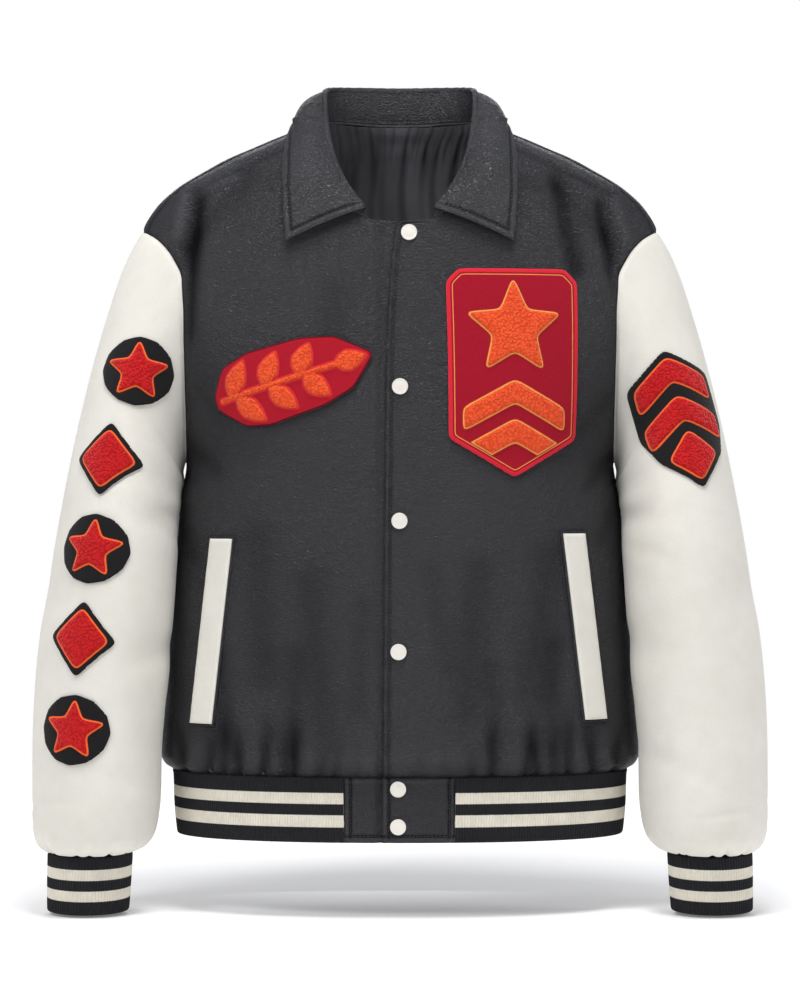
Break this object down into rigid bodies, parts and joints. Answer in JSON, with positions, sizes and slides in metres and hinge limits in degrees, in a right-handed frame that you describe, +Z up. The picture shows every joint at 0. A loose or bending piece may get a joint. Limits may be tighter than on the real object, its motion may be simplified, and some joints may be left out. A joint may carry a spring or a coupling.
{
  "type": "varsity jacket",
  "caption": "Filled-out varsity jacket with a black leather body and collar, ivory felt sleeves, striped rib hem and cuffs, snap front and chenille motif patches.",
  "frame": {"origin": "middle of the neck at the height of the shoulder seams' inner ends, where a neck or a hanger holds the jacket", "axes": "+Z up along the body, -Y the front, +X the wearer's left"},
  "size_m": [0.695, 0.2384, 0.7922],
  "materials": {
    "leather": "black, softly grained",
    "felt": "ivory wool felt",
    "rib": "black rib knit with cream stripes",
    "satin": "charcoal satin",
    "snap": "off-white enamel",
    "orange_chenille": "looped chenille on felt",
    "red_chenille": "looped chenille on felt"
  },
  "bodies": {
    "root": {"front_left": "leather", "front_right": "leather", "back": "leather", "back_lining": "satin", "collar_stand": "leather", "collar_leaf": "leather", "sleeve_left": "felt", "sleeve_right": "felt", "cuff_left": "rib", "cuff_right": "rib", "hem_rib": "rib", "hem_tab_left": "leather", "hem_tab_right": "leather", "welt_left": "felt", "welt_right": "felt", "snap_neck": "snap", "snap_chest": "snap", "snap_middle": "snap", "snap_waist": "snap", "snap_hem_top": "snap", "snap_hem_low": "snap", "patch_chest_left": "orange_chenille", "patch_chest_right": "orange_chenille", "patch_sleeve_right_1": "red_chenille", "patch_sleeve_right_2": "red_chenille", "patch_sleeve_right_3": "red_chenille", "patch_sleeve_right_4": "red_chenille", "patch_sleeve_right_5": "red_chenille", "patch_sleeve_left": "red_chenille"}
  },
  "joints": []
}
